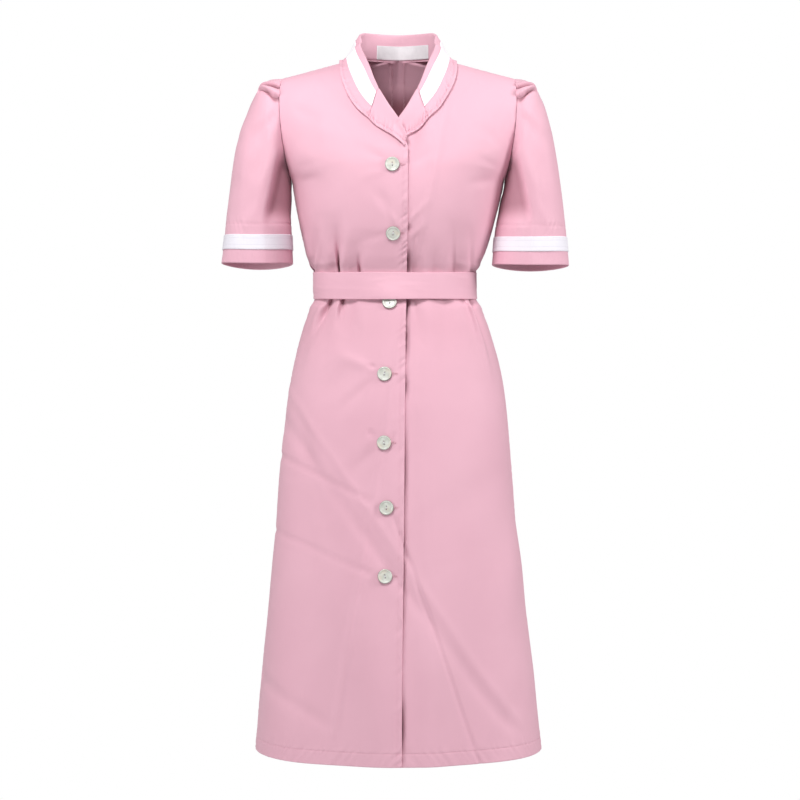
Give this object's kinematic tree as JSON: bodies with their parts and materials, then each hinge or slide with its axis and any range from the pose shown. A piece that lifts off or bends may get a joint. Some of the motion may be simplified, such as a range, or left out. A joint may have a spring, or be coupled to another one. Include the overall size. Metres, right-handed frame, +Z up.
{
  "type": "maid uniform dress",
  "caption": "Short-sleeved button-front uniform dress with roll collar, white collar and sleeve stripes, pleated sleeve heads and a sash belt, hollow and filled out as worn.",
  "frame": {"origin": "midway between the shoulder seams, at the height where a wearer's shoulders hold the dress", "axes": "+Z up from hem to neck, -Y out of the buttoned front, +X towards the wearer's left side"},
  "size_m": [0.5203, 0.3473, 1.0835],
  "materials": {
    "pink_cloth": "plain woven cotton blend, soft sheen",
    "white_trim": "flat woven tape, matte",
    "label_tape": "smooth woven label, left blank",
    "shell": "pearly grey-green shell look, polished"
  },
  "bodies": {
    "root": {"front_right": "pink_cloth", "front_left": "pink_cloth", "back_right": "pink_cloth", "back_left": "pink_cloth", "sleeve_right": "pink_cloth", "sleeve_left": "pink_cloth", "collar": "pink_cloth", "lapel_right": "pink_cloth", "lapel_left": "pink_cloth", "belt": "pink_cloth", "sleeve_stripe_right": "white_trim", "sleeve_stripe_left": "white_trim", "collar_stripe": "white_trim", "label": "label_tape", "button_1": "shell", "button_2": "shell", "button_3": "shell", "button_4": "shell", "button_5": "shell", "button_6": "shell", "button_7": "shell"}
  },
  "joints": []
}
